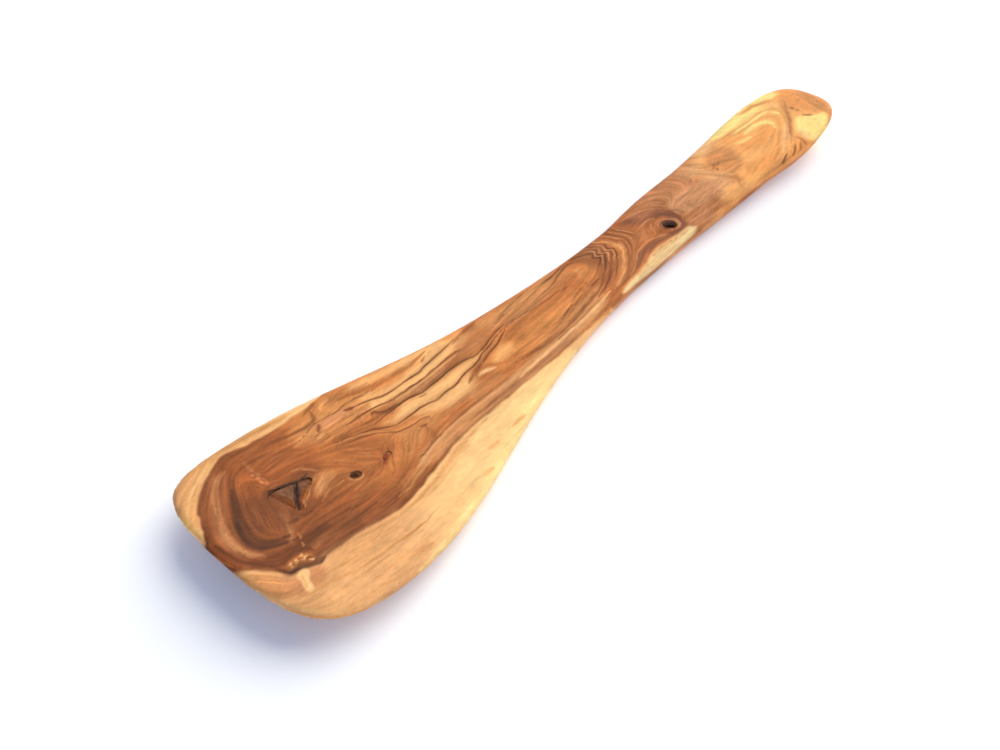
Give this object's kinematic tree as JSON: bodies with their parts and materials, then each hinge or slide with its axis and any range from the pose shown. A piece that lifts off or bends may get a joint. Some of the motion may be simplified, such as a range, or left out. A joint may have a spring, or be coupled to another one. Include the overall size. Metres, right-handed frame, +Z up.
{
  "type": "wooden spatula",
  "caption": "Flat carved wooden spatula with a broad rounded blade, slim waisted neck and flared handle, bowed so that it rests on a flat belly; dead knots sit in the wood.",
  "frame": {"origin": "under the middle of the whole spatula's box, on the surface that it rests on", "axes": "+X along the length from the blade to the handle's end, +Y to the left of the hand that holds it, +Z up out of the blade's upper face"},
  "size_m": [0.3, 0.0746, 0.0146],
  "materials": {
    "olive_wood": "oiled, smooth sanded",
    "dead_knot": "rough end grain",
    "ingrown_bark": "rough, matt",
    "dark_knot": "rough, matt",
    "red_knot": "smooth sanded"
  },
  "bodies": {
    "root": {"spatula_body": "olive_wood", "blade_knot": "dead_knot", "blade_knot_bark": "ingrown_bark", "pin_knot": "dark_knot", "small_pin_knot": "red_knot", "handle_knot": "dark_knot"}
  },
  "joints": []
}
